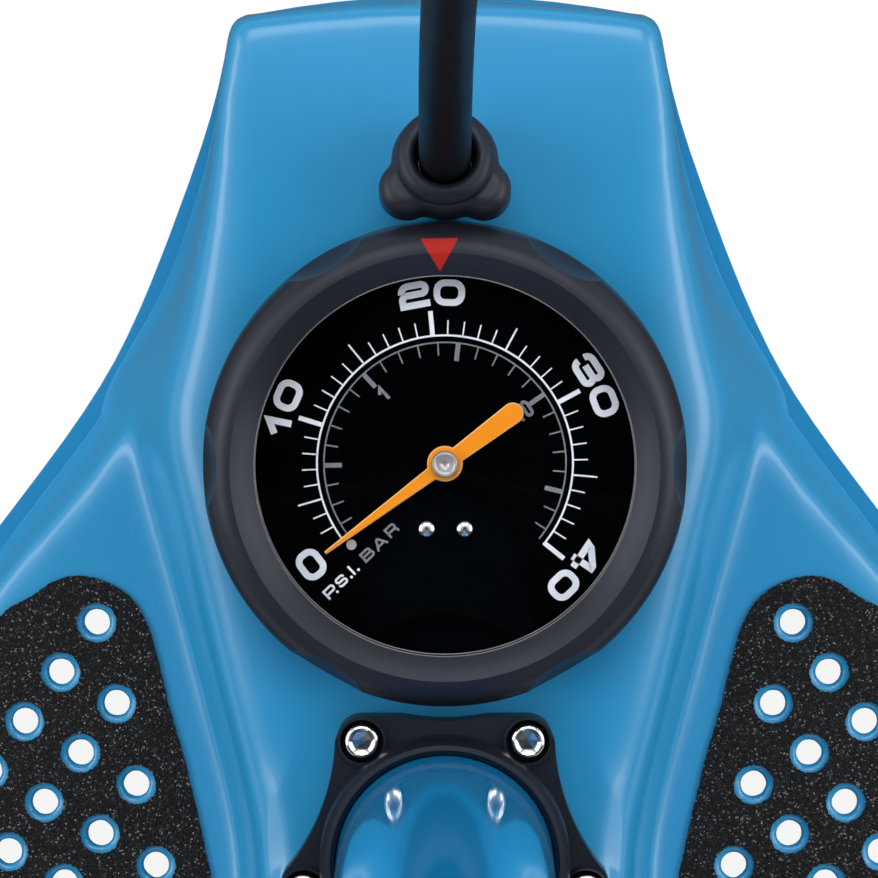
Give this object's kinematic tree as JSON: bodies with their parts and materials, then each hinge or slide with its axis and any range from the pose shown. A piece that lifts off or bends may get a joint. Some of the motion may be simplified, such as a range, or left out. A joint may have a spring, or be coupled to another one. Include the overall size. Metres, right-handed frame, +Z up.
{
  "type": "floor bike pump",
  "caption": "Upright floor pump: cast base with foot decks, dial gauge with turning target ring, barrel, T-handle, hose and lever chuck.",
  "frame": {"origin": "centre of the base's footprint, on the floor", "axes": "+Z up along the barrel, +Y towards the nose of the base, +X to the right when standing behind the barrel and facing the nose"},
  "size_m": [0.2501, 0.2703, 0.6674],
  "materials": {
    "base_paint": "gloss blue enamel",
    "barrel_paint": "high gloss blue lacquer",
    "grip_tape": "coarse grit",
    "black_casting": "fine black powder coat",
    "black_plastic": "fine texture",
    "black_rubber": "smooth",
    "grip_rubber": "ribbed soft grip",
    "hose_rubber": "satin",
    "screw_chrome": "polished",
    "rod_steel": "ground",
    "brass": "turned",
    "cast_aluminium": "as cast",
    "dial_print": "gloss black with silver print",
    "needle_paint": "satin orange",
    "marker_red": "satin red",
    "clear_lens": "clear acrylic"
  },
  "bodies": {
    "base": {"base_casting": "base_paint", "barrel_tube": "barrel_paint", "grip_tape_left": "grip_tape", "grip_tape_right": "grip_tape", "barrel_collar": "black_casting", "gauge_housing": "black_plastic", "barrel_cap": "black_plastic", "rod_bush": "black_plastic", "chuck_clip": "black_plastic", "chuck_body": "black_plastic", "chuck_cap": "black_plastic", "hose_boot": "black_plastic", "hose_nut": "black_plastic", "rubber_feet": "black_rubber", "plug_seal": "black_rubber", "rod_wiper": "black_rubber", "handle_bumper": "black_rubber", "lens_gasket": "black_rubber", "chuck_grommet": "black_rubber", "hose": "hose_rubber", "collar_screws": "screw_chrome", "dial_screws": "screw_chrome", "stop_pin": "screw_chrome", "manifold_screws": "screw_chrome", "clip_screw": "screw_chrome", "clip_nut": "screw_chrome", "lever_pin": "screw_chrome", "check_spring": "rod_steel", "gauge_socket": "brass", "bourdon_tube": "brass", "movement_plates": "brass", "passage_plug": "brass", "valve_retainer": "brass", "air_manifold": "cast_aluminium", "foot_plug": "cast_aluminium", "hose_spigot": "cast_aluminium", "hose_ferrule": "cast_aluminium", "dial_plate": "dial_print", "gauge_lens": "clear_lens"},
    "bezel": {"gauge_bezel": "black_plastic", "bezel_marker": "marker_red"},
    "sector": {"sector_gear": "brass", "sector_shaft": "rod_steel"},
    "link": {"movement_link": "rod_steel"},
    "needle": {"pinion_spindle": "rod_steel", "needle": "needle_paint", "needle_cap": "screw_chrome"},
    "lever": {"chuck_lever": "black_plastic"},
    "valve_ball": {"check_ball": "screw_chrome"},
    "piston": {"piston": "black_plastic", "piston_seal": "black_rubber"},
    "handle": {"piston_rod": "rod_steel", "rod_end_collar": "rod_steel", "rod_upper_collar": "rod_steel", "handle_core": "black_plastic", "grip_right": "grip_rubber", "grip_left": "grip_rubber", "handle_end_caps": "black_plastic", "handle_screw": "screw_chrome"}
  },
  "joints": [
    {"name": "piston_slide", "type": "slide", "parent": "base", "child": "piston", "axis": [0, 0, 1], "range_m": [0, 0.495]},
    {"name": "handle_turn", "type": "hinge", "parent": "piston", "child": "handle", "pos_m": [0, -0.0435, 0.65], "axis": [0, 0, 1], "continuous": true},
    {"name": "bezel_turn", "type": "hinge", "parent": "base", "child": "bezel", "pos_m": [0, 0.0305, 0.05], "axis": [0, 0, 1], "continuous": true},
    {"name": "sector_turn", "type": "hinge", "parent": "base", "child": "sector", "pos_m": [-0.02338, 0.044, 0.0405], "axis": [0, 0, 1], "range_deg": [0, 31.95], "stiffness_Nm_per_rad": 0.002},
    {"name": "link_turn", "type": "hinge", "parent": "sector", "child": "link", "pos_m": [-0.02338, 0.05, 0.0417], "axis": [0, 0, 1], "range_deg": [-31.95, 0]},
    {"name": "needle_turn", "type": "hinge", "parent": "base", "child": "needle", "pos_m": [0, 0.0305, 0.048], "axis": [0, 0, 1], "range_deg": [-255.6, 0]},
    {"name": "lever_swing", "type": "hinge", "parent": "base", "child": "lever", "pos_m": [0.052, -0.065, 0.25], "axis": [1, 0, 0], "range_deg": [0, 100]},
    {"name": "ball_lift", "type": "slide", "parent": "base", "child": "valve_ball", "axis": [0, 0, 1], "range_m": [0, 0.0015], "stiffness_N_per_m": 60, "springref_m": -0.002, "deforming": ["check_spring"]}
  ],
  "couplings": [
    {"joint": "needle_turn", "follows": "sector_turn", "ratio": -8},
    {"joint": "link_turn", "follows": "sector_turn", "ratio": -1}
  ]
}
